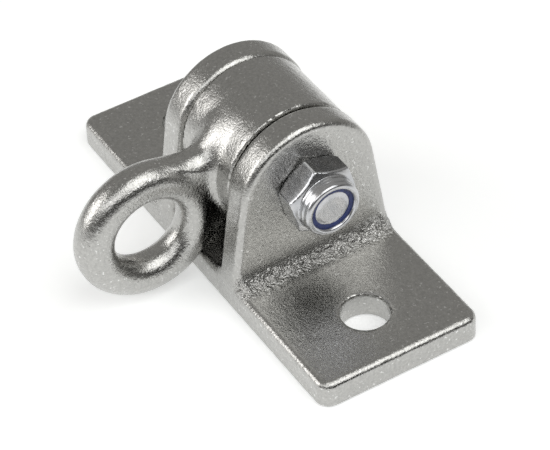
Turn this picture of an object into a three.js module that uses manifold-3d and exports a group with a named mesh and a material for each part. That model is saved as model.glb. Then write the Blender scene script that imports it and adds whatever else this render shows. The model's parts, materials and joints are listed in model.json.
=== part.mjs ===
// Hinged eye anchor. A forged bracket, one flat plate with two upright ears, is
// bolted down through two holes. A forged eye swings between the ears on a hex
// bolt, which a self-locking nut with a nylon insert holds. A spacer sleeve on the
// bolt keeps the ears apart, and two flanged bushes in the eye's hub turn on it.
//
// Millimetres, +Z up. The origin is the middle of the plate's underside. +X runs
// along the bolt towards its nut, and the eye hangs out over the plate's -Y edge.
// Pieces that touch or run on each other on the real object keep FIT between them.

import * as THREE from 'three';
import { mergeVertices } from 'three/addons/utils/BufferGeometryUtils.js';
import Module from 'manifold-3d';

const wasm = await Module();
wasm.setup();

// Driving dimensions.
const FIT = 0.3;

const PLATE_LENGTH = 132;
const PLATE_WIDTH = 50;
const PLATE_THICKNESS = 8;
const PLATE_CORNER = 4;
const EDGE_ROUND = 2;
const MOUNT_SPACING = 95;
const MOUNT_HOLE_RADIUS = 6.75;

const AXIS_HEIGHT = 34;
const EAR_RADIUS = 21;
const EAR_HEAD_DROP = 1;
const EAR_GAP = 25;
const EAR_THICKNESS = 9;
const OUTER_FOOT_FILLET = 3;
const INNER_FOOT_FILLET = 1.5;

const HUB_RADIUS = 20;
const HUB_LENGTH = EAR_GAP - 2 * FIT;
const HUB_EDGE = 0.8;
const REACH = 41;
const RING_RADIUS = 15.7;
const WIRE_RADIUS = 5.5;
const NECK_HALF_WIDTH = 13.4;
const NECK_ANGLE_AT_HUB = THREE.MathUtils.degToRad(60);
const NECK_ANGLE_AT_RING = THREE.MathUtils.degToRad(128);
const FLARE_HALF_WIDTH = 9;
const FLARE_ROOT = 14;
const FLARE_BEND = 21;
const FLARE_END = 27;
const REST_ANGLE = THREE.MathUtils.degToRad(15.7);

const BOLT_RADIUS = 6;
const BOLT_TIP_RADIUS = 5.1;
const BOLT_TIP_LENGTH = 2;
const BOLT_HEAD_HEIGHT = 7.5;
const BOLT_TIP_DEPTH = 0.7;
const HEX_ACROSS_FLATS = 19;
const HEX_CHAMFER_RADIUS = 9;
const NUT_TURN = THREE.MathUtils.degToRad(43);
const HEAD_TURN = THREE.MathUtils.degToRad(12);

const NUT_HEX_HEIGHT = 7.8;
const NUT_HEIGHT = 12;
const COLLAR_RADIUS = 8.4;
const COLLAR_ROUND = 1;
const COLLAR_ROUND_CORNER = 0.3;
const LIP_RADIUS = 6.75;
const LIP_THICKNESS = 0.6;
const INSERT_RADIUS = 7.2;
const INSERT_LENGTH = 2.4;

const SLEEVE_RADIUS = 8;
const BUSH_RADIUS = 10;
const BUSH_FLANGE_RADIUS = 13;
const BUSH_FLANGE_THICKNESS = 0.9;
const BUSH_INNER_END = 0.5;

const ROUND_SEGMENTS = 48;
const SMALL_SEGMENTS = 32;
const WIRE_SEGMENTS = 16;
const BEVEL_SEGMENTS = 3;
const MERGE_DISTANCE = 1e-4;

// Places that follow from the driving dimensions.
const EAR_OUTER_FACE = EAR_GAP / 2 + EAR_THICKNESS;
const NUT_SEAT = EAR_OUTER_FACE + FIT;
const NUT_TOP = NUT_SEAT + NUT_HEIGHT;
const BOLT_END = NUT_TOP - BOLT_TIP_DEPTH;
const CUT_MARGIN = 5;
const JOIN_OVERLAP = 1;

// Turns shape coordinates (x, y) into (Y, Z) and the extrusion direction into +X.
const ALONG_X = new THREE.Matrix4().makeBasis(
  new THREE.Vector3(0, 1, 0),
  new THREE.Vector3(0, 0, 1),
  new THREE.Vector3(1, 0, 0),
);

// A closed solid from a closed geometry, with faces out whichever way it was drawn.
function solid(geometry) {
  const bare = geometry.clone();
  bare.deleteAttribute('normal');
  bare.deleteAttribute('uv');
  const merged = mergeVertices(bare, MERGE_DISTANCE);
  const position = merged.getAttribute('position');
  const corners = [];
  for (let i = 0; i < merged.index.count; i += 3) {
    const [a, b, c] = [0, 1, 2].map((k) => merged.index.getX(i + k));
    if (a !== b && b !== c && c !== a) {
      corners.push(a, b, c);
    }
  }
  const [p, q, r] = [new THREE.Vector3(), new THREE.Vector3(), new THREE.Vector3()];
  let volume = 0;
  for (let i = 0; i < corners.length; i += 3) {
    p.fromBufferAttribute(position, corners[i]);
    q.fromBufferAttribute(position, corners[i + 1]);
    r.fromBufferAttribute(position, corners[i + 2]);
    volume += p.dot(q.cross(r));
  }
  if (volume < 0) {
    corners.reverse();
  }
  return new wasm.Manifold(new wasm.Mesh({
    numProp: 3,
    vertProperties: Float32Array.from(position.array),
    triVerts: Uint32Array.from(corners),
  }));
}

function geometryOf(manifold) {
  const mesh = manifold.getMesh();
  const geometry = new THREE.BufferGeometry();
  geometry.setAttribute('position', new THREE.BufferAttribute(mesh.vertProperties, 3));
  geometry.setIndex(new THREE.BufferAttribute(mesh.triVerts, 1));
  geometry.computeVertexNormals();
  return geometry;
}

// A turned solid about the X axis, from a closed profile of [radius, x] points.
function turned(profile, segments = ROUND_SEGMENTS) {
  const points = profile.map(([radius, x]) => new THREE.Vector2(radius, x));
  const geometry = new THREE.LatheGeometry(points, segments);
  return solid(geometry.rotateZ(-Math.PI / 2));
}

// A shape extruded along +Z from 0 to length, with the edges of both ends rounded.
function prism(shape, length, round, curveSegments) {
  const geometry = new THREE.ExtrudeGeometry(shape, {
    depth: length - 2 * round,
    curveSegments,
    bevelEnabled: round > 0,
    bevelThickness: round,
    bevelSize: round,
    bevelOffset: -round,
    bevelSegments: BEVEL_SEGMENTS,
  });
  return geometry.translate(0, 0, round);
}

// A shape drawn in the Y-Z plane, extruded along X between two places.
function alongX(shape, from, to, round = 0) {
  const geometry = prism(shape, to - from, round, SMALL_SEGMENTS);
  return solid(geometry.applyMatrix4(ALONG_X).translate(from, 0, 0));
}

// A shape drawn in the X-Y plane, extruded along Z between two places.
function alongZ(shape, from, to, round = 0) {
  const geometry = prism(shape, to - from, round, BEVEL_SEGMENTS);
  return solid(geometry.translate(0, 0, from));
}

function roundedRectangle(length, width, corner) {
  const x = length / 2;
  const y = width / 2;
  const shape = new THREE.Shape();
  shape.moveTo(-x + corner, -y);
  shape.lineTo(x - corner, -y);
  shape.absarc(x - corner, -y + corner, corner, -Math.PI / 2, 0);
  shape.absarc(x - corner, y - corner, corner, 0, Math.PI / 2);
  shape.absarc(-x + corner, y - corner, corner, Math.PI / 2, Math.PI);
  shape.absarc(-x + corner, -y + corner, corner, Math.PI, 1.5 * Math.PI);
  return shape;
}

// The forged plate: its upper edges are rounded and its underside is flat.
function plate() {
  const outline = roundedRectangle(PLATE_LENGTH, PLATE_WIDTH, PLATE_CORNER);
  const slab = alongZ(outline, -PLATE_THICKNESS, PLATE_THICKNESS, EDGE_ROUND);
  const below = new THREE.BoxGeometry(2 * PLATE_LENGTH, 2 * PLATE_WIDTH, 2 * PLATE_THICKNESS);
  return slab.subtract(solid(below.translate(0, 0, -PLATE_THICKNESS)));
}

// One ear's outline: a round head whose centre is just below the bolt's axis, and
// straight sides that leave it as tangents and end at the plate's long edges.
function earOutline() {
  const halfWidth = PLATE_WIDTH / 2;
  const headHeight = AXIS_HEIGHT - EAR_HEAD_DROP;
  const rise = headHeight - PLATE_THICKNESS;
  const reach = Math.hypot(halfWidth, rise);
  const tangent = Math.acos(EAR_RADIUS / reach) - Math.atan2(rise, halfWidth);
  const shape = new THREE.Shape();
  shape.moveTo(-halfWidth, PLATE_THICKNESS / 2);
  shape.lineTo(halfWidth, PLATE_THICKNESS / 2);
  shape.lineTo(halfWidth, PLATE_THICKNESS);
  shape.absarc(0, headHeight, EAR_RADIUS, tangent, Math.PI - tangent);
  shape.lineTo(-halfWidth, PLATE_THICKNESS);
  return shape;
}

// The forged fillet between an ear's face and the plate, drawn on the side of
// the face that direction (1 or -1 along X) points to.
function footFillet(face, direction, radius) {
  const shape = new THREE.Shape();
  shape.moveTo(-JOIN_OVERLAP, -JOIN_OVERLAP);
  shape.lineTo(radius, -JOIN_OVERLAP);
  shape.lineTo(radius, 0);
  shape.absarc(radius, radius, radius, 1.5 * Math.PI, Math.PI, true);
  shape.lineTo(-JOIN_OVERLAP, radius);
  const halfLength = PLATE_WIDTH / 2 - EDGE_ROUND - FIT;
  const geometry = prism(shape, 2 * halfLength, 0, BEVEL_SEGMENTS);
  geometry.translate(0, 0, -halfLength);
  geometry.rotateX(Math.PI / 2);
  geometry.scale(direction, 1, 1);
  return solid(geometry.translate(face, 0, PLATE_THICKNESS));
}

function bracket() {
  const ear = earOutline();
  const innerFace = EAR_GAP / 2;
  const mountHole = new THREE.CylinderGeometry(
    MOUNT_HOLE_RADIUS, MOUNT_HOLE_RADIUS, 2 * (PLATE_THICKNESS + CUT_MARGIN), ROUND_SEGMENTS);
  mountHole.rotateX(Math.PI / 2);
  let body = plate();
  for (const side of [1, -1]) {
    const faces = [side * innerFace, side * EAR_OUTER_FACE];
    body = body.add(alongX(ear, Math.min(...faces), Math.max(...faces), EDGE_ROUND));
    body = body.add(footFillet(side * innerFace, -side, INNER_FOOT_FILLET));
    body = body.add(footFillet(side * EAR_OUTER_FACE, side, OUTER_FOOT_FILLET));
    const hole = mountHole.clone().translate(side * MOUNT_SPACING / 2, 0, 0);
    body = body.subtract(solid(hole));
  }
  const bore = bar(BOLT_RADIUS + FIT, -EAR_OUTER_FACE - CUT_MARGIN, EAR_OUTER_FACE + CUT_MARGIN);
  return body.subtract(bore.translate([0, 0, AXIS_HEIGHT]));
}

// A plain round bar on the X axis.
function bar(radius, from, to, segments = SMALL_SEGMENTS) {
  return turned([[0, from], [radius, from], [radius, to], [0, to]], segments);
}

// The neck's outline seen along X: it leaves the hub as wide as the ring and
// narrows between them. The hub is at the origin and the ring lies towards -Y.
function neckOutline() {
  const ringOuter = RING_RADIUS + WIRE_RADIUS;
  const hubY = -HUB_RADIUS * Math.cos(NECK_ANGLE_AT_HUB);
  const hubZ = HUB_RADIUS * Math.sin(NECK_ANGLE_AT_HUB);
  const ringY = -REACH - ringOuter * Math.cos(NECK_ANGLE_AT_RING);
  const ringZ = ringOuter * Math.sin(NECK_ANGLE_AT_RING) - FIT;
  const waistY = -(HUB_RADIUS + REACH - ringOuter) / 2;
  const shape = new THREE.Shape();
  shape.moveTo(hubY, -hubZ);
  shape.lineTo(hubY, hubZ);
  shape.quadraticCurveTo(waistY, NECK_HALF_WIDTH - FIT, ringY, ringZ);
  shape.lineTo(-REACH, 0);
  shape.lineTo(ringY, -ringZ);
  shape.quadraticCurveTo(waistY, -NECK_HALF_WIDTH + FIT, hubY, -hubZ);
  return shape;
}

// The neck's outline seen along Z: as thick as the ring, with a flare at the hub.
function flareOutline() {
  const shape = new THREE.Shape();
  shape.moveTo(FLARE_HALF_WIDTH, 0);
  shape.lineTo(FLARE_HALF_WIDTH, -FLARE_ROOT);
  shape.quadraticCurveTo(WIRE_RADIUS, -FLARE_BEND, WIRE_RADIUS, -FLARE_END);
  shape.lineTo(WIRE_RADIUS, -REACH);
  shape.lineTo(-WIRE_RADIUS, -REACH);
  shape.lineTo(-WIRE_RADIUS, -FLARE_END);
  shape.quadraticCurveTo(-WIRE_RADIUS, -FLARE_BEND, -FLARE_HALF_WIDTH, -FLARE_ROOT);
  shape.lineTo(-FLARE_HALF_WIDTH, 0);
  return shape;
}

// The forged eye, with its hub on the origin: a ring of round section, a neck,
// and a hub bored for the bushes and counterbored for their flanges.
function swingEye() {
  const end = HUB_LENGTH / 2;
  const shoulder = end - BUSH_FLANGE_THICKNESS - FIT;
  const hub = turned([
    [0, -end],
    [HUB_RADIUS - HUB_EDGE, -end],
    [HUB_RADIUS, -end + HUB_EDGE],
    [HUB_RADIUS, end - HUB_EDGE],
    [HUB_RADIUS - HUB_EDGE, end],
    [0, end],
  ]);
  const torus = new THREE.TorusGeometry(RING_RADIUS, WIRE_RADIUS, WIRE_SEGMENTS, ROUND_SEGMENTS);
  torus.rotateY(Math.PI / 2);
  const ring = solid(torus.translate(0, -REACH, 0));
  const side = alongX(neckOutline(), -end, end);
  const plan = alongZ(flareOutline(), -HUB_RADIUS, HUB_RADIUS);
  const opening = bar(RING_RADIUS, -HUB_LENGTH, HUB_LENGTH).translate([0, -REACH, 0]);
  const neck = side.intersect(plan).subtract(opening);
  const bore = turned([
    [0, -end - CUT_MARGIN],
    [BUSH_FLANGE_RADIUS + FIT, -end - CUT_MARGIN],
    [BUSH_FLANGE_RADIUS + FIT, -shoulder],
    [BUSH_RADIUS + FIT, -shoulder],
    [BUSH_RADIUS + FIT, shoulder],
    [BUSH_FLANGE_RADIUS + FIT, shoulder],
    [BUSH_FLANGE_RADIUS + FIT, end + CUT_MARGIN],
    [0, end + CUT_MARGIN],
  ]);
  return hub.add(neck).add(ring).subtract(bore);
}

// A flanged plain bush for the hub's +X end. The other end's is turned round.
function bush() {
  const end = HUB_LENGTH / 2;
  const inner = SLEEVE_RADIUS + FIT;
  return turned([
    [inner, BUSH_INNER_END],
    [BUSH_RADIUS, BUSH_INNER_END],
    [BUSH_RADIUS, end - BUSH_FLANGE_THICKNESS],
    [BUSH_FLANGE_RADIUS, end - BUSH_FLANGE_THICKNESS],
    [BUSH_FLANGE_RADIUS, end],
    [inner, end],
    [inner, BUSH_INNER_END],
  ]);
}

// The spacer sleeve that the nut clamps between the ears and the bushes turn on.
function pivotSleeve() {
  const end = EAR_GAP / 2 - FIT;
  return turned([
    [BOLT_RADIUS + FIT, -end],
    [SLEEVE_RADIUS, -end],
    [SLEEVE_RADIUS, end],
    [BOLT_RADIUS + FIT, end],
    [BOLT_RADIUS + FIT, -end],
  ], SMALL_SEGMENTS);
}

// A hexagonal prism on the X axis, its corners chamfered at both ends.
function hexagon(from, to, turn) {
  const cornerRadius = HEX_ACROSS_FLATS / Math.sqrt(3);
  const shape = new THREE.Shape();
  for (let i = 0; i < 6; i += 1) {
    const angle = turn + i * Math.PI / 3;
    const corner = [cornerRadius * Math.cos(angle), cornerRadius * Math.sin(angle)];
    if (i === 0) {
      shape.moveTo(...corner);
    } else {
      shape.lineTo(...corner);
    }
  }
  const chamfer = (cornerRadius - HEX_CHAMFER_RADIUS) * Math.tan(Math.PI / 6);
  const chamfered = turned([
    [0, from],
    [HEX_CHAMFER_RADIUS, from],
    [cornerRadius, from + chamfer],
    [cornerRadius, to - chamfer],
    [HEX_CHAMFER_RADIUS, to],
    [0, to],
  ]);
  return alongX(shape, from, to).intersect(chamfered);
}

function pivotBolt() {
  const seat = -NUT_SEAT;
  const head = hexagon(seat - BOLT_HEAD_HEIGHT, seat, HEAD_TURN);
  const shank = turned([
    [0, seat - JOIN_OVERLAP],
    [BOLT_RADIUS, seat - JOIN_OVERLAP],
    [BOLT_RADIUS, BOLT_END - BOLT_TIP_LENGTH],
    [BOLT_TIP_RADIUS, BOLT_END],
    [0, BOLT_END],
  ], SMALL_SEGMENTS);
  return head.add(shank);
}

// The nut's body: a hexagon, and a round collar rolled over the nylon insert.
function lockNut() {
  const hexTop = NUT_SEAT + NUT_HEX_HEIGHT;
  const pocketEnd = NUT_TOP - LIP_THICKNESS;
  const pocketStart = pocketEnd - INSERT_LENGTH - 2 * FIT;
  const collar = turned([
    [0, hexTop - JOIN_OVERLAP],
    [COLLAR_RADIUS, hexTop - JOIN_OVERLAP],
    [COLLAR_RADIUS, NUT_TOP - COLLAR_ROUND],
    [COLLAR_RADIUS - COLLAR_ROUND_CORNER, NUT_TOP - COLLAR_ROUND_CORNER],
    [COLLAR_RADIUS - COLLAR_ROUND, NUT_TOP],
    [0, NUT_TOP],
  ]);
  const bore = turned([
    [0, NUT_SEAT - CUT_MARGIN],
    [BOLT_RADIUS + FIT, NUT_SEAT - CUT_MARGIN],
    [BOLT_RADIUS + FIT, pocketStart],
    [INSERT_RADIUS + FIT, pocketStart],
    [INSERT_RADIUS + FIT, pocketEnd],
    [LIP_RADIUS, pocketEnd],
    [LIP_RADIUS, NUT_TOP + CUT_MARGIN],
    [0, NUT_TOP + CUT_MARGIN],
  ], SMALL_SEGMENTS);
  return hexagon(NUT_SEAT, hexTop, NUT_TURN).add(collar).subtract(bore);
}

// The insert's hole closes in over the bolt's pointed tip.
function nutInsert() {
  const outerEnd = NUT_TOP - LIP_THICKNESS - FIT;
  const innerEnd = outerEnd - INSERT_LENGTH;
  const tipStart = BOLT_END - BOLT_TIP_LENGTH;
  const tipSlope = (BOLT_RADIUS - BOLT_TIP_RADIUS) / BOLT_TIP_LENGTH;
  const mouth = BOLT_RADIUS + FIT - tipSlope * (outerEnd - tipStart);
  return turned([
    [BOLT_RADIUS + FIT, innerEnd],
    [INSERT_RADIUS, innerEnd],
    [INSERT_RADIUS, outerEnd],
    [mouth, outerEnd],
    [BOLT_RADIUS + FIT, tipStart],
    [BOLT_RADIUS + FIT, innerEnd],
  ], SMALL_SEGMENTS);
}

function metal(color, roughness) {
  return new THREE.MeshStandardMaterial({ color, roughness, metalness: 1 });
}

function named(name, manifold, material) {
  const mesh = new THREE.Mesh(geometryOf(manifold), material);
  mesh.name = name;
  return mesh;
}

const group = new THREE.Group();
group.add(named('bracket', bracket(), metal(0x8f8d88, 0.5)));

const axis = new THREE.Group();
axis.position.z = AXIS_HEIGHT;
axis.add(named('pivot_bolt', pivotBolt(), metal(0xb4b8bc, 0.25)));
axis.add(named('pivot_sleeve', pivotSleeve(), metal(0xa9abad, 0.35)));
axis.add(named('lock_nut', lockNut(), metal(0xb4b8bc, 0.22)));
const nylon = new THREE.MeshStandardMaterial({ color: 0x1d2f6b, roughness: 0.45, metalness: 0 });
axis.add(named('nut_insert', nutInsert(), nylon));
group.add(axis);

const eye = new THREE.Group();
eye.position.z = AXIS_HEIGHT;
eye.rotation.x = REST_ANGLE;
eye.add(named('swing_eye', swingEye(), metal(0x96948f, 0.48)));
const nutSideBush = named('bush_nut_side', bush(), metal(0xa5783c, 0.4));
const headSideBush = named('bush_head_side', bush(), metal(0xa5783c, 0.4));
headSideBush.rotation.z = Math.PI;
eye.add(nutSideBush, headSideBush);
group.add(eye);

export default group;
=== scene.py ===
# A hinged eye anchor: a forged two-hole bracket, a forged eye that swings in it, and
# the hex bolt and self-locking nut that it swings on. Each visible piece is a solid
# field in millimetres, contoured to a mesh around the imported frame. The spacer sleeve
# and the bushes, hidden inside, keep their CAD shapes and only get a finish.
import json
import math

import bpy
import numpy as np
from mathutils import Matrix, Vector


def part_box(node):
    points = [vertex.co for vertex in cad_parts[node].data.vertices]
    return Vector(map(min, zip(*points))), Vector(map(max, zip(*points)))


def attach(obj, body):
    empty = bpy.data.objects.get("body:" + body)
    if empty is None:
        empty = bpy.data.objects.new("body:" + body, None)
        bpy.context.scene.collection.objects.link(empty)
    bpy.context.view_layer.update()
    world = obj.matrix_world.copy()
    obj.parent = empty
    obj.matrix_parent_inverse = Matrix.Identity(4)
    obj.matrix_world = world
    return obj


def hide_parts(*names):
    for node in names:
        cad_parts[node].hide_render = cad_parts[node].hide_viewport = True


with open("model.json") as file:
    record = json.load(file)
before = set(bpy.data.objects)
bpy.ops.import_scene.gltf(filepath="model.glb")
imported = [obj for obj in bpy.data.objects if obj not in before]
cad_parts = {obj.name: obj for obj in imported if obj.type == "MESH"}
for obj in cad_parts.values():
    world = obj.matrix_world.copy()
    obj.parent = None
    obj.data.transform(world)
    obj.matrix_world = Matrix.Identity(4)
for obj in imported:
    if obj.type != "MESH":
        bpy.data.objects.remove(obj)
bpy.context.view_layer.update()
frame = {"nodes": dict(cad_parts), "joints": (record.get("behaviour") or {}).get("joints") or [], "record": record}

MM = 0.001

# ---------------------------------------------------------------- sizes, in millimetres


def box_mm(node):
    """The lowest and highest corner of a CAD node, in millimetres."""
    low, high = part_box(node)
    return np.array(low) / MM, np.array(high) / MM


mounts = {mount["name"]: mount for mount in frame["record"]["mounts"]}
bolt_seat = mounts["fixing_bolt_seat_nut_side"]["pos_m"]
bracket_high = box_mm("bracket")[1]
eye_low, eye_high = box_mm("swing_eye")
nut_low, nut_high = box_mm("lock_nut")
bolt_high = box_mm("pivot_bolt")[1]
sleeve_high = box_mm("pivot_sleeve")[1]

# FIT is the CAD's clearance, and TOUCH is what is left of it under the nut and head.
FIT = 0.3
TOUCH = 0.02
AXIS_HEIGHT = frame["joints"][0]["pos_m"][2] / MM

PLATE_HALF_LENGTH, PLATE_HALF_WIDTH, TOP = bracket_high
PLATE_THICKNESS = bolt_seat[2] / MM
HOLE_OFFSET = bolt_seat[0] / MM
HOLE_RADIUS = 6.75
HOLE_RIM_ROUND = 0.9
PLATE_CORNER = 4.0
EDGE_ROUND = 2.0
PLATE_BOTTOM_ROUND = 0.7

EAR_HEAD_DROP = 1.0
EAR_HEAD_HEIGHT = AXIS_HEIGHT - EAR_HEAD_DROP
EAR_RADIUS = TOP - EAR_HEAD_HEIGHT
EAR_INNER_FACE = sleeve_high[0] + FIT
EAR_OUTER_FACE = nut_low[0] - FIT
FOOT_BLEND_OUTER = 5.5
FOOT_BLEND_INNER = 4.5
# The rough skin at the ears' feet: its depth, its middle beyond the ear's outer face
# and above the plate, where it ends, over what distance it fades, and its wavelength.
FOOT_ROUGHNESS = 0.12
FOOT_ROUGH_MIDDLE = 1.5
FOOT_ROUGH_END = 4.0
FOOT_ROUGH_FADE = 2.5
FOOT_ROUGH_WAVELENGTH = 2.6
FOOT_SEED = 31
# The same skin in the material: its middle beyond the ear's outer face and above the
# plate, and where it starts and stops fading.
FOOT_BUMP_MIDDLE = (FOOT_BLEND_OUTER / 3, 1.0)
FOOT_BUMP_FULL, FOOT_BUMP_END = 2.0, 5.0
# The uneven skin of a forging: the depth and wavelength of its lumps and its ripples.
LUMP_DEPTH, LUMP_WAVELENGTH = 0.014, 9
RIPPLE_DEPTH, RIPPLE_WAVELENGTH = 0.006, 3
BRACKET_SEED = 11
EYE_SEED = 23
WAVE_COUNT = 14

HUB_HALF_LENGTH = eye_high[0]
HUB_RADIUS = TOP - AXIS_HEIGHT
HUB_ROUND = 0.9
HUB_BORE_RADIUS = 10.3
FLANGE_RECESS_RADIUS = 13.3
FLANGE_RECESS_DEPTH = 1.2
RING_RADIUS = 15.7
WIRE_RADIUS = 5.5
RING_OUTER = RING_RADIUS + WIRE_RADIUS
RING_AWAY = -eye_low[1] - RING_OUTER
RING_BELOW = AXIS_HEIGHT - eye_low[2] - RING_OUTER
REACH = math.hypot(RING_AWAY, RING_BELOW)
REST_ANGLE = math.atan2(RING_BELOW, RING_AWAY)
NECK_HALF_HEIGHT = 13.6
NECK_HALF_THICKNESS = 5.5
NECK_ROUND = 5.3
NECK_OUTLINE_BLEND = 6.0
NECK_DISC_INSET = 3.6
NECK_DISC_START = 12.0
NECK_TO_HUB_BLEND = 3.2

HEX_HALF_FLATS = 9.5
HEX_CHAMFER_RADIUS = 9.0
HEX_CHAMFER_FALL = math.tan(math.radians(30))
HEX_CHAMFER_BLEND = 0.15
HEX_CORNER_BLEND = 0.35
HEX_END_BLEND = 0.3
NUT_TURN = math.radians(43)
NUT_HEX_HEIGHT = 7.8
NUT_HEIGHT = nut_high[0] - nut_low[0]
NUT_SEAT = EAR_OUTER_FACE + TOUCH
NUT_TOP = NUT_SEAT + NUT_HEIGHT

# The nut's collar is a skirt and, above a groove, a rolled rim. Both start inside the
# hexagon. Depths are below the nut's top.
COLLAR_START = NUT_SEAT + 1
SKIRT_RADIUS = 8.5
SKIRT_DEPTH = 2.1
SKIRT_ROUND = 0.6
RIM_RADIUS = 8.3
RIM_ROUND = 1.0
GROOVE_BLEND = 0.25
COLLAR_TO_HEX_BLEND = 0.6
MOUTH_RADIUS = 6.45
MOUTH_DEPTH = 1.2
MOUTH_BLEND = 0.9
POCKET_RADIUS = 7.2
POCKET_DEPTHS = (0.85, 3.5)

INSERT_RADIUS = 7.1
INSERT_BORE_RADIUS = 5.2
INSERT_DEPTH = 0.9
INSERT_THICKNESS = 2.2
INSERT_ROUND = 0.3

BOLT_RADIUS = 6.0
BOLT_END = bolt_high[0] - FIT
BOLT_SEAT = -EAR_OUTER_FACE - TOUCH
HEAD_TURN = math.radians(12)
HEAD_HEIGHT = 7.5
HEAD_END = BOLT_SEAT - HEAD_HEIGHT
WASHER_FACE_RADIUS = 8.8
WASHER_FACE_HEIGHT = 0.4
WASHER_FACE_ROUND = 0.2
THREAD_PITCH = 1.75
THREAD_DEPTH = 0.6
THREAD_START = EAR_OUTER_FACE - 6
# The bolt's end is a low cone from one radius outwards and a steep one from another.
TIP_DOME_RADIUS, TIP_DOME_FALL = 4.1, 0.27
TIP_CHAMFER_RADIUS, TIP_CHAMFER_FALL = 4.95, 1.0
TIP_BLEND = 0.2

# The grid cells that the fields are contoured on.
FORGING_CELL = 0.6
NUT_CELL = 0.3
BOLT_CELL = 0.35
INSERT_CELL = 0.25


# ---------------------------------------------------------------- solid fields
# A field is a function of x, y and z that is negative inside the piece and grows
# about one unit per millimetre.


def blend_union(a, b, width):
    """The union of two fields, with a fillet about as wide as width."""
    mix = np.clip(0.5 + 0.5 * (b - a) / width, 0, 1)
    return b + (a - b) * mix - width * mix * (1 - mix)


def blend_both(a, b, width):
    """The part inside both fields, with a round edge about as wide as width."""
    return -blend_union(-a, -b, width)


def slab(profile, across, radius):
    """An outline field given a thickness, with its edges rounded to radius."""
    a, b = profile + radius, across + radius
    outside = np.hypot(np.maximum(a, 0), np.maximum(b, 0))
    return np.minimum(np.maximum(a, b), 0) + outside - radius


def rounded_rectangle(x, y, half_x, half_y, radius):
    """A rectangle about the origin, with its corners rounded to radius."""
    a = np.abs(x) - half_x + radius
    b = np.abs(y) - half_y + radius
    outside = np.hypot(np.maximum(a, 0), np.maximum(b, 0))
    return outside + np.minimum(np.maximum(a, b), 0) - radius


def from_axis(y, z):
    """The distance from the bolt's axis."""
    return np.hypot(y, z - AXIS_HEIGHT)


def waves(x, y, z, wavelength, seed):
    """A smooth uneven field with a spread of about 1, the same on every run."""
    rng = np.random.default_rng(seed)
    total = np.zeros(np.shape(x))
    for _ in range(WAVE_COUNT):
        direction = rng.normal(size=3)
        length = wavelength * rng.uniform(0.6, 1.6)
        direction *= 2 * math.pi / (length * np.linalg.norm(direction))
        phase = rng.uniform(0, 2 * math.pi)
        total += np.sin(direction[0] * x + direction[1] * y + direction[2] * z + phase)
    return total * math.sqrt(2 / WAVE_COUNT)


def forged(field, x, y, z, seed):
    """The field with the slightly uneven skin of a forging."""
    lumps = LUMP_DEPTH * waves(x, y, z, LUMP_WAVELENGTH, seed)
    ripples = RIPPLE_DEPTH * waves(x, y, z, RIPPLE_WAVELENGTH, seed + 1)
    return field + lumps + ripples


def ear_outline(y, z):
    """A round head, and straight sides from it down to the plate's long edges."""
    y = np.abs(y)
    rise = EAR_HEAD_HEIGHT - PLATE_THICKNESS
    reach = math.hypot(PLATE_HALF_WIDTH, rise)
    lean = math.acos(EAR_RADIUS / reach) - math.atan2(rise, PLATE_HALF_WIDTH)
    normal_y, normal_z = math.cos(lean), math.sin(lean)
    side = (y - PLATE_HALF_WIDTH) * normal_y + (z - PLATE_THICKNESS) * normal_z
    side = np.maximum(side, y - PLATE_HALF_WIDTH)
    head = np.hypot(y, z - EAR_HEAD_HEIGHT) - EAR_RADIUS
    above = (z - EAR_HEAD_HEIGHT) * normal_y - y * normal_z > 0
    return np.where(above, head, side)


def bracket_field(x, y, z):
    """The plate's and the ears' faces blend at the foot, and one rounded outline,
    the plate's seen from above and the ears' seen along X, cuts them off."""
    ear_middle = (EAR_INNER_FACE + EAR_OUTER_FACE) / 2
    ear_half = (EAR_OUTER_FACE - EAR_INNER_FACE) / 2
    from_middle = np.abs(x) - ear_middle
    outwards = np.clip(0.5 + from_middle / (2 * ear_half), 0, 1)
    foot = FOOT_BLEND_INNER + (FOOT_BLEND_OUTER - FOOT_BLEND_INNER) * outwards
    faces = blend_union(z - PLATE_THICKNESS, np.abs(from_middle) - ear_half, foot)
    rectangle = rounded_rectangle(x, y, PLATE_HALF_LENGTH, PLATE_HALF_WIDTH, PLATE_CORNER)
    body = slab(np.maximum(rectangle, ear_outline(y, z)), faces, EDGE_ROUND)
    body = np.maximum(body, slab(rectangle, -z, PLATE_BOTTOM_ROUND))
    beyond_ear = from_middle - ear_half - FOOT_ROUGH_MIDDLE
    from_foot = np.hypot(beyond_ear, z - PLATE_THICKNESS - FOOT_ROUGH_MIDDLE)
    roughness = FOOT_ROUGHNESS * np.clip((FOOT_ROUGH_END - from_foot) / FOOT_ROUGH_FADE, 0, 1)
    body = body + roughness * waves(x, y, z, FOOT_ROUGH_WAVELENGTH, FOOT_SEED)
    body = np.maximum(forged(body, x, y, z, BRACKET_SEED), -z)
    hole = np.hypot(np.abs(x) - HOLE_OFFSET, y) - HOLE_RADIUS
    bore = from_axis(y, z) - BOLT_RADIUS - FIT
    return np.maximum(blend_both(body, -hole, HOLE_RIM_ROUND), -bore)


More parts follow.
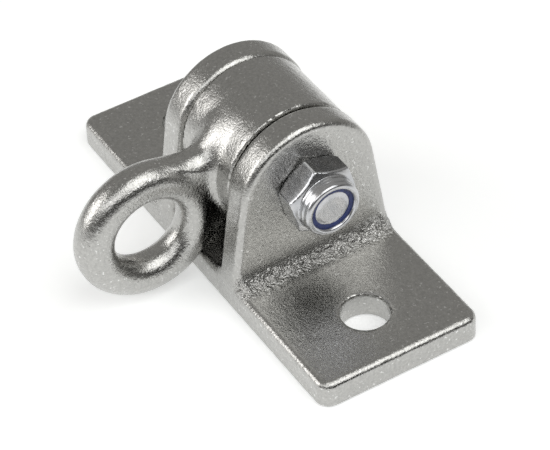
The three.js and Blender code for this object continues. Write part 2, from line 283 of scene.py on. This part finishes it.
def eye_field(x, y, z):
    """The ring, the neck and the hub's middle are one flat outline with rounded edges,
    and the wider hub blends into it. Along runs from the hub's axis to the ring's."""
    up = z - AXIS_HEIGHT
    along = -y * math.cos(REST_ANGLE) - up * math.sin(REST_ANGLE)
    across = up * math.cos(REST_ANGLE) - y * math.sin(REST_ANGLE)
    radius = np.hypot(along, across)
    hub = slab(radius - HUB_RADIUS, np.abs(x) - HUB_HALF_LENGTH, HUB_ROUND)
    from_ring = np.hypot(along - REACH, across)
    neck_end = REACH - RING_RADIUS
    neck = np.maximum(np.abs(across) - NECK_HALF_HEIGHT, np.maximum(-along, along - neck_end))
    ring = np.abs(from_ring - RING_RADIUS) - WIRE_RADIUS
    outline = blend_union(ring, neck, NECK_OUTLINE_BLEND)
    inset = NECK_DISC_INSET * (1 - np.clip(along / NECK_DISC_START, 0, 1))
    outline = blend_union(outline, radius - HUB_RADIUS + inset, NECK_OUTLINE_BLEND)
    outline = np.maximum(outline, RING_RADIUS - WIRE_RADIUS - from_ring)
    arm = slab(outline, np.abs(x) - NECK_HALF_THICKNESS, NECK_ROUND)
    body = blend_union(arm, hub, NECK_TO_HUB_BLEND)
    body = forged(body, x, y, z, EYE_SEED)
    body = np.maximum(body, np.abs(x) - HUB_HALF_LENGTH)
    at_flange = np.abs(x) > HUB_HALF_LENGTH - FLANGE_RECESS_DEPTH
    bore = radius - np.where(at_flange, FLANGE_RECESS_RADIUS, HUB_BORE_RADIUS)
    return np.maximum(body, -bore)


def hexagon_field(y, z, turn):
    """A hexagon about the bolt's axis, with slightly rounded corners."""
    up = z - AXIS_HEIGHT
    sides = []
    for i in range(3):
        angle = turn + math.pi / 6 + i * math.pi / 3
        sides.append(np.abs(y * math.cos(angle) + up * math.sin(angle)))
    field = blend_both(sides[0], sides[1], HEX_CORNER_BLEND)
    return blend_both(field, sides[2], HEX_CORNER_BLEND) - HEX_HALF_FLATS


def cone(radius, beyond, start, fall):
    """A cone that starts at a radius at beyond = 0 and falls back by fall outwards."""
    return (beyond + fall * (radius - start)) / math.hypot(1, fall)


def chamfered_end(radius, beyond):
    """The end of a hexagon at beyond = 0, with its corners turned off."""
    turned = cone(radius, beyond, HEX_CHAMFER_RADIUS, HEX_CHAMFER_FALL)
    return blend_both(turned, beyond, HEX_CHAMFER_BLEND)


def nut_field(x, y, z):
    """The nut, with a pocket behind its mouth for the insert."""
    radius = from_axis(y, z)
    body = hexagon_field(y, z, NUT_TURN)
    hex_top = chamfered_end(radius, x - NUT_SEAT - NUT_HEX_HEIGHT)
    body = blend_both(body, hex_top, HEX_END_BLEND)
    body = blend_both(body, chamfered_end(radius, NUT_SEAT - x), HEX_END_BLEND)
    depth = NUT_TOP - x
    before = COLLAR_START - x
    skirt = slab(radius - SKIRT_RADIUS, np.maximum(SKIRT_DEPTH - depth, before), SKIRT_ROUND)
    rim = slab(radius - RIM_RADIUS, np.maximum(-depth, before), RIM_ROUND)
    collar = blend_union(skirt, rim, GROOVE_BLEND)
    body = blend_union(body, collar, COLLAR_TO_HEX_BLEND)
    mouth = radius - np.where(depth < MOUTH_DEPTH, MOUTH_RADIUS, BOLT_RADIUS + FIT)
    pocket = np.maximum(POCKET_DEPTHS[0] - depth, depth - POCKET_DEPTHS[1])
    pocket = np.maximum(pocket, radius - POCKET_RADIUS)
    return np.maximum(blend_both(body, -mouth, MOUTH_BLEND), -pocket)


def insert_field(x, y, z):
    """The nylon ring in the nut's pocket."""
    radius = from_axis(y, z)
    depth = NUT_TOP - INSERT_DEPTH - x
    ring = np.maximum(radius - INSERT_RADIUS, INSERT_BORE_RADIUS - radius)
    return slab(ring, np.maximum(-depth, depth - INSERT_THICKNESS), INSERT_ROUND)


def bolt_field(x, y, z):
    """The head with its washer face, and the shank with a thread at the nut's end."""
    radius = from_axis(y, z)
    head = hexagon_field(y, z, HEAD_TURN)
    head = blend_both(head, chamfered_end(radius, HEAD_END - x), HEX_END_BLEND)
    head = np.maximum(head, x - BOLT_SEAT + WASHER_FACE_HEIGHT)
    within_head = HEAD_END + HEAD_HEIGHT / 2 - x
    washer = np.maximum(x - BOLT_SEAT, within_head)
    washer = slab(radius - WASHER_FACE_RADIUS, washer, WASHER_FACE_ROUND)
    turn = np.arctan2(z - AXIS_HEIGHT, y) / (2 * math.pi)
    ramp = np.abs((x / THREAD_PITCH - turn) % 1 - 0.5) * 2
    thread = np.where(x > THREAD_START, THREAD_DEPTH * ramp, 0)
    past_end = x - BOLT_END
    shank = np.maximum(radius - BOLT_RADIUS + thread, np.maximum(past_end, within_head))
    shank = blend_both(shank, past_end, TIP_BLEND)
    dome = cone(radius, past_end, TIP_DOME_RADIUS, TIP_DOME_FALL)
    chamfer = cone(radius, past_end, TIP_CHAMFER_RADIUS, TIP_CHAMFER_FALL)
    shank = blend_both(shank, np.maximum(dome, chamfer), TIP_BLEND)
    return np.minimum(np.minimum(head, washer), shank)


# ---------------------------------------------------------------- meshing

SLOPE_STEP = 0.02
HALVINGS = 8
# The slopes in a cell count as different, and make a crease, above this share.
CREASE_SHARE = 0.08
TINY = 1e-9


def gradient(field, points):
    """The direction in which a field grows at each point, with a length of 1."""
    columns = []
    for axis in range(3):
        offset = np.zeros(3)
        offset[axis] = SLOPE_STEP
        ahead, behind = points + offset, points - offset
        columns.append(field(*ahead.T) - field(*behind.T))
    slope = np.stack(columns, axis=1)
    length = np.linalg.norm(slope, axis=1, keepdims=True)
    return slope / np.maximum(length, TINY)


def crossings(field, values, corners, axis):
    """Where the surface cuts the grid's edges along one axis: their first grid point,
    which way they cross, and the place and normal of each crossing."""
    inside = values < 0
    ahead = np.roll(inside, -1, axis)
    changes = inside != ahead
    last = [slice(None)] * 3
    last[axis] = -1
    changes[tuple(last)] = False
    index = np.argwhere(changes)
    step = np.zeros(3, int)
    step[axis] = 1
    start = np.stack([corners[k][index[:, k]] for k in range(3)], axis=1)
    stop = np.stack([corners[k][(index + step)[:, k]] for k in range(3)], axis=1)
    leaving = inside[tuple(index.T)]
    near = np.where(leaving[:, None], start, stop)
    far = np.where(leaving[:, None], stop, start)
    for _ in range(HALVINGS):
        middle = (near + far) / 2
        hit = (field(*middle.T) < 0)[:, None]
        near = np.where(hit, middle, near)
        far = np.where(hit, far, middle)
    place = (near + far) / 2
    return index, leaving, place, gradient(field, place)


def contour(field, low, high, cell):
    """A closed quad mesh of a field's surface by dual contouring: one vertex for each
    grid cell that the surface passes through, put on the surface or on its crease."""
    margin = 1.5 * cell
    low, high = np.array(low) - margin, np.array(high) + margin
    counts = np.ceil((high - low) / cell).astype(int) + 1
    corners = [low[k] + cell * np.arange(counts[k]) for k in range(3)]
    values = field(*np.meshgrid(*corners, indexing="ij"))
    cells, places, normals, quads = [], [], [], []
    for axis in range(3):
        second, third = (axis + 1) % 3, (axis + 2) % 3
        index, leaving, place, normal = crossings(field, values, corners, axis)
        ring = []
        for back_second, back_third in ((1, 1), (0, 1), (0, 0), (1, 0)):
            beside = index.copy()
            beside[:, second] -= back_second
            beside[:, third] -= back_third
            ring.append(np.ravel_multi_index(tuple(beside.T), counts))
            cells.append(ring[-1])
            places.append(place)
            normals.append(normal)
        quad = np.stack(ring, axis=1)
        quads.append(np.where(leaving[:, None], quad, quad[:, ::-1]))
    used, which = np.unique(np.concatenate(cells), return_inverse=True)
    place, normal = np.concatenate(places), np.concatenate(normals)
    share = np.bincount(which)[:, None]
    centre = np.stack([np.bincount(which, place[:, k]) for k in range(3)], axis=1) / share
    depth = np.sum(normal * (place - centre[which]), axis=1)
    matrix = np.zeros((len(used), 3, 3))
    target = np.zeros((len(used), 3))
    for i in range(3):
        target[:, i] = np.bincount(which, normal[:, i] * depth)
        for k in range(3):
            matrix[:, i, k] = np.bincount(which, normal[:, i] * normal[:, k])
    strength, directions = np.linalg.eigh(matrix)
    kept = strength > CREASE_SHARE * strength[:, 2:]
    inverse = np.where(kept, 1 / np.maximum(strength, TINY), 0)
    turned = np.einsum("nij,ni->nj", directions, target) * inverse
    vertices = centre + np.einsum("nij,nj->ni", directions, turned)
    corner = low + cell * np.stack(np.unravel_index(used, counts), axis=1)
    vertices = np.clip(vertices, corner, corner + cell)
    # Away from the creases, a step along the slope puts each vertex on the surface.
    smooth = ~kept[:, 1]
    slope = gradient(field, vertices[smooth])
    vertices[smooth] -= slope * field(*vertices[smooth].T)[:, None]
    faces = np.searchsorted(used, np.concatenate(quads))
    return vertices, faces


def piece(name, field, node, cell, body, material, sharp):
    """A field's mesh in place of a CAD node. Edges sharper than sharp degrees show."""
    vertices, faces = contour(field, *box_mm(node), cell)
    mesh = bpy.data.meshes.new(name)
    mesh.from_pydata((vertices * MM).tolist(), [], faces.tolist())
    mesh.polygons.foreach_set("use_smooth", [True] * len(mesh.polygons))
    mesh.set_sharp_from_angle(angle=math.radians(sharp))
    mesh.materials.append(material)
    made = bpy.data.objects.new(name, mesh)
    bpy.context.scene.collection.objects.link(made)
    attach(made, body)
    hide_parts(node)


# ---------------------------------------------------------------- materials


def new_material(name):
    """A material with one Principled shader, its node tree and that shader."""
    material = bpy.data.materials.new(name)
    material.use_nodes = True
    tree = material.node_tree
    tree.nodes.clear()
    output = tree.nodes.new("ShaderNodeOutputMaterial")
    shader = tree.nodes.new("ShaderNodeBsdfPrincipled")
    tree.links.new(shader.outputs["BSDF"], output.inputs["Surface"])
    return material, tree, shader


def noise(tree, per_metre, detail=2.0, roughness=0.5):
    """Noise in the piece's own coordinates, with per_metre lumps in a metre."""
    place = tree.nodes.new("ShaderNodeTexCoord")
    made = tree.nodes.new("ShaderNodeTexNoise")
    made.inputs["Scale"].default_value = per_metre
    made.inputs["Detail"].default_value = detail
    made.inputs["Roughness"].default_value = roughness
    tree.links.new(place.outputs["Object"], made.inputs["Vector"])
    return made.outputs["Fac"]


def mapped(tree, source, low, high, start=0.35, stop=0.65):
    """A number from low to high as source goes from start to stop."""
    node = tree.nodes.new("ShaderNodeMapRange")
    node.inputs["From Min"].default_value = start
    node.inputs["From Max"].default_value = stop
    node.inputs["To Min"].default_value = low
    node.inputs["To Max"].default_value = high
    tree.links.new(source, node.inputs["Value"])
    return node.outputs["Result"]


def between(tree, source, first, second):
    """A colour between two colours. Each is three numbers or another node's output."""
    node = tree.nodes.new("ShaderNodeMix")
    node.data_type = "RGBA"
    for colour, socket in ((first, node.inputs[6]), (second, node.inputs[7])):
        if isinstance(colour, tuple):
            socket.default_value = (*colour, 1)
        else:
            tree.links.new(colour, socket)
    tree.links.new(source, node.inputs["Factor"])
    return node.outputs[2]


def bump(tree, source, height, under=None):
    """Relief of that height in metres, on top of the relief under it."""
    node = tree.nodes.new("ShaderNodeBump")
    node.inputs["Strength"].default_value = 1
    node.inputs["Distance"].default_value = height
    tree.links.new(source, node.inputs["Height"])
    if under is not None:
        tree.links.new(under, node.inputs["Normal"])
    return node.outputs["Normal"]


def at_foot(tree):
    """1 along the fillets where the ears' outer faces meet the plate, 0 elsewhere."""
    place = tree.nodes.new("ShaderNodeTexCoord")
    apart = tree.nodes.new("ShaderNodeVectorMath")
    apart.operation = "ABSOLUTE"
    tree.links.new(place.outputs["Object"], apart.inputs[0])
    flat = tree.nodes.new("ShaderNodeVectorMath")
    flat.operation = "MULTIPLY"
    flat.inputs[1].default_value = (1, 0, 1)
    tree.links.new(apart.outputs["Vector"], flat.inputs[0])
    reach = tree.nodes.new("ShaderNodeVectorMath")
    reach.operation = "DISTANCE"
    beyond, above = FOOT_BUMP_MIDDLE
    middle = ((EAR_OUTER_FACE + beyond) * MM, 0, (PLATE_THICKNESS + above) * MM)
    reach.inputs[1].default_value = middle
    tree.links.new(flat.outputs["Vector"], reach.inputs[0])
    return mapped(tree, reach.outputs["Value"], 1, 0, FOOT_BUMP_FULL * MM, FOOT_BUMP_END * MM)


def forged_zinc():
    """Bright zinc over a shot-blasted forging: fine pits that sparkle, sparse bright
    specks, and a rougher skin in the fillets at the foot of the ears."""
    material, tree, shader = new_material("forged_zinc")
    shader.inputs["Metallic"].default_value = 1
    speck = mapped(tree, noise(tree, 1300, 2, 0.7), 0, 1, 0.3, 0.7)
    colour = between(tree, speck, (0.395, 0.392, 0.38), (0.51, 0.507, 0.49))
    spark = mapped(tree, noise(tree, 1050, 1), 0, 1, 0.66, 0.74)
    colour = between(tree, spark, colour, (0.7, 0.7, 0.69))
    tree.links.new(colour, shader.inputs["Base Color"])
    roughness = mapped(tree, noise(tree, 160, 3), 0.12, 0.18)
    tree.links.new(roughness, shader.inputs["Roughness"])
    lumps = bump(tree, noise(tree, 420, 2), 0.00009)
    grained = bump(tree, noise(tree, 1500, 3, 0.65), 0.00012, lumps)
    rough = bump(tree, noise(tree, 1100, 2, 0.6), 0.0008, grained)
    tree.links.new(at_foot(tree), rough.node.inputs["Strength"])
    tree.links.new(rough, shader.inputs["Normal"])
    return material


def bright_zinc():
    """Smooth bright zinc on the turned and rolled fasteners."""
    material, tree, shader = new_material("bright_zinc")
    shader.inputs["Metallic"].default_value = 1
    cloud = mapped(tree, noise(tree, 300, 3), 0, 1)
    colour = between(tree, cloud, (0.48, 0.49, 0.51), (0.58, 0.58, 0.59))
    tree.links.new(colour, shader.inputs["Base Color"])
    tree.links.new(mapped(tree, noise(tree, 900, 2), 0.18, 0.25), shader.inputs["Roughness"])
    tree.links.new(bump(tree, noise(tree, 700, 2), 0.000008), shader.inputs["Normal"])
    return material


def blue_nylon():
    """Satin dark blue plastic, a little mottled."""
    material, tree, shader = new_material("blue_nylon")
    cloud = noise(tree, 600, 2)
    colour = between(tree, mapped(tree, cloud, 0, 1), (0.008, 0.018, 0.1), (0.014, 0.032, 0.15))
    tree.links.new(colour, shader.inputs["Base Color"])
    tree.links.new(mapped(tree, cloud, 0.25, 0.4), shader.inputs["Roughness"])
    tree.links.new(bump(tree, noise(tree, 2500, 2), 0.00001), shader.inputs["Normal"])
    return material


def plain_metal(name, first, second, roughness, spread=0.06):
    """The hidden turned pieces: a slightly mottled ground or sintered metal."""
    material, tree, shader = new_material(name)
    shader.inputs["Metallic"].default_value = 1
    cloud = noise(tree, 500, 4)
    colour = between(tree, mapped(tree, cloud, 0, 1), first, second)
    tree.links.new(colour, shader.inputs["Base Color"])
    shine = mapped(tree, cloud, roughness - spread, roughness + spread)
    tree.links.new(shine, shader.inputs["Roughness"])
    tree.links.new(bump(tree, noise(tree, 1500, 2), 0.00001), shader.inputs["Normal"])
    return material


# ---------------------------------------------------------------- the pieces

finishes = {
    "forged_zinc": forged_zinc(),
    "bright_zinc": bright_zinc(),
    "blue_nylon": blue_nylon(),
}
# Name, field, node, grid cell, body, slot, and the angle of its sharp edges.
shown_pieces = (
    ("bracket_body", bracket_field, "bracket", FORGING_CELL, "fixed", "forged_zinc", 35),
    ("eye_body", eye_field, "swing_eye", FORGING_CELL, "eye", "forged_zinc", 35),
    ("nut_body", nut_field, "lock_nut", NUT_CELL, "fixed", "bright_zinc", 28),
    ("bolt_body", bolt_field, "pivot_bolt", BOLT_CELL, "fixed", "bright_zinc", 28),
    ("nut_ring", insert_field, "nut_insert", INSERT_CELL, "fixed", "blue_nylon", 45),
)
for name, field, node, cell, body, slot, sharp in shown_pieces:
    piece(name, field, node, cell, body, finishes[slot], sharp)

steel = plain_metal("ground_steel", (0.5, 0.51, 0.53), (0.6, 0.61, 0.62), 0.3)
bronze = plain_metal("plain_bronze", (0.55, 0.36, 0.17), (0.66, 0.45, 0.24), 0.4)
inner_pieces = (
    ("pivot_sleeve", "sleeve_steel", steel),
    ("bush_nut_side", "bush_bronze", bronze),
    ("bush_head_side", "bush_bronze", bronze),
)
for node, slot, finish in inner_pieces:
    cad_piece = frame["nodes"][node]
    cad_piece.data.materials.clear()
    cad_piece.data.materials.append(finish)


# ---------------------------------------------------------------- floor, lights, camera

FLOOR_HALF = 4.0
FLOOR_HEIGHT = -0.1 * MM
# The floor's painted light and shade: where its colour and glow start and stop fading, in metres, and how strongly
# it glows near and far.
FLOOR_NEAR, FLOOR_FAR = 0.13, 0.4
FLOOR_NEAR_PAINTED_LIGHT, FLOOR_FAR_PAINTED_LIGHT = 0.34, 0.05
# The room is darkest where a direction's cosine with its dark side is above this.
ROOM_DARK_COSINE = 0.9


def direction(azimuth, elevation):
    """The direction of a place seen from the object. Azimuth 0 is -Y and 90 is +X."""
    a, e = math.radians(azimuth), math.radians(elevation)
    return Vector((math.sin(a) * math.cos(e), -math.cos(a) * math.cos(e), math.sin(e)))


def floor():
    """A pale floor, clear from below. Its glow, strongest near the object, is painted light, and its colour
    turning grey away from the object is painted shade.
    """
    corners = [(x * FLOOR_HALF, y * FLOOR_HALF, FLOOR_HEIGHT)
               for x, y in ((-1, -1), (1, -1), (1, 1), (-1, 1))]
    mesh = bpy.data.meshes.new("floor")
    mesh.from_pydata(corners, [], [(0, 1, 2, 3)])
    material, tree, shader = new_material("floor")
    place = tree.nodes.new("ShaderNodeTexCoord")
    away = tree.nodes.new("ShaderNodeVectorMath")
    away.operation = "LENGTH"
    tree.links.new(place.outputs["Object"], away.inputs[0])
    far = mapped(tree, away.outputs["Value"], 0, 1, FLOOR_NEAR, FLOOR_FAR)
    # Painted shade: the floor's colour fades from pale near the object to grey far away.
    colour = between(tree, far, (0.9, 0.905, 0.91), (0.5, 0.5, 0.5))
    tree.links.new(colour, shader.inputs["Base Color"])
    shader.inputs["Roughness"].default_value = 0.9
    # Painted light: the floor glows, most strongly near the object, though it is no lamp.
    shader.inputs["Emission Color"].default_value = (0.985, 1.0, 0.99, 1)
    painted_light = mapped(tree, far, FLOOR_NEAR_PAINTED_LIGHT, FLOOR_FAR_PAINTED_LIGHT, 0, 1)
    tree.links.new(painted_light, shader.inputs["Emission Strength"])
    clear = tree.nodes.new("ShaderNodeBsdfTransparent")
    side = tree.nodes.new("ShaderNodeNewGeometry")
    choice = tree.nodes.new("ShaderNodeMixShader")
    tree.links.new(side.outputs["Backfacing"], choice.inputs["Fac"])
    tree.links.new(shader.outputs["BSDF"], choice.inputs[1])
    tree.links.new(clear.outputs["BSDF"], choice.inputs[2])
    tree.links.new(choice.outputs["Shader"], tree.nodes["Material Output"].inputs["Surface"])
    mesh.materials.append(material)
    made = bpy.data.objects.new("floor", mesh)
    bpy.context.scene.collection.objects.link(made)


def softbox(name, azimuth, elevation, distance, width, height, power, colour):
    """A rectangular area lamp that faces the object."""
    lamp = bpy.data.lights.new(name, "AREA")
    lamp.shape = "RECTANGLE"
    lamp.size = width
    lamp.size_y = height
    lamp.energy = power
    lamp.color = colour
    made = bpy.data.objects.new(name, lamp)
    towards = direction(azimuth, elevation)
    made.location = towards * distance
    made.rotation_euler = towards.to_track_quat("Z", "Y").to_euler()
    bpy.context.scene.collection.objects.link(made)


def room(colour, bright, dark, dark_side):
    """Plain light from all round, darker towards one side."""
    world = bpy.data.worlds.new("room")
    world.use_nodes = True
    tree = world.node_tree
    place = tree.nodes.new("ShaderNodeTexCoord")
    facing = tree.nodes.new("ShaderNodeVectorMath")
    facing.operation = "DOT_PRODUCT"
    facing.inputs[1].default_value = dark_side
    tree.links.new(place.outputs["Generated"], facing.inputs[0])
    strength = mapped(tree, facing.outputs["Value"], bright, dark, 0, ROOM_DARK_COSINE)
    background = tree.nodes["Background"]
    background.inputs["Color"].default_value = (*colour, 1)
    tree.links.new(strength, background.inputs["Strength"])
    bpy.context.scene.world = world


CAMERA_AZIMUTH = 60.7
CAMERA_ELEVATION = 42.67
CAMERA_ROLL = -3.29
CAMERA_DISTANCE = 0.7775
CAMERA_AIM = (0.0004, 0.0023)
CAMERA_LENS = 181.7
CAMERA_SENSOR = 36
CAMERA_CLIP_START = 0.05


def camera():
    """A long lens from the nut's side. The aim is right and up from the origin."""
    back = direction(CAMERA_AZIMUTH, CAMERA_ELEVATION)
    right = Vector((0, 0, 1)).cross(back).normalized()
    turned = Matrix.Rotation(math.radians(CAMERA_ROLL), 3, back)
    right = turned @ right
    up = back.cross(right)
    place = back * CAMERA_DISTANCE + right * CAMERA_AIM[0] + up * CAMERA_AIM[1]
    data = bpy.data.cameras.new("camera")
    data.lens = CAMERA_LENS
    data.sensor_width = CAMERA_SENSOR
    data.clip_start = CAMERA_CLIP_START
    made = bpy.data.objects.new("camera", data)
    axes = Matrix((right, up, back)).transposed()
    made.matrix_world = Matrix.Translation(place) @ axes.to_4x4()
    bpy.context.scene.collection.objects.link(made)
    bpy.context.scene.camera = made


floor()
room(colour=(1.0, 0.985, 0.95), bright=0.36, dark=0.08, dark_side=direction(85, 12))
# Name, azimuth, elevation, distance, width, height, power and colour, in degrees,
# metres and watts.
lamps = (
    ("left_softbox", -26, 29, 1.2, 0.75, 0.6, 3.5, (1.0, 0.985, 0.975)),
    ("low_softbox", -20, 12, 1.0, 0.45, 0.16, 0.6, (1.0, 0.99, 0.98)),
    ("top_softbox", 108, 58, 1.2, 1.05, 1.1, 7.6, (1.0, 1.0, 0.99)),
    ("front_fill", 36, 42, 1.5, 1.3, 0.66, 4.2, (1.0, 1.0, 1.0)),
)
for lamp in lamps:
    softbox(*lamp)
camera()
bpy.context.scene.view_settings.view_transform = "Standard"
bpy.context.scene.cycles.denoising_prefilter = "NONE"
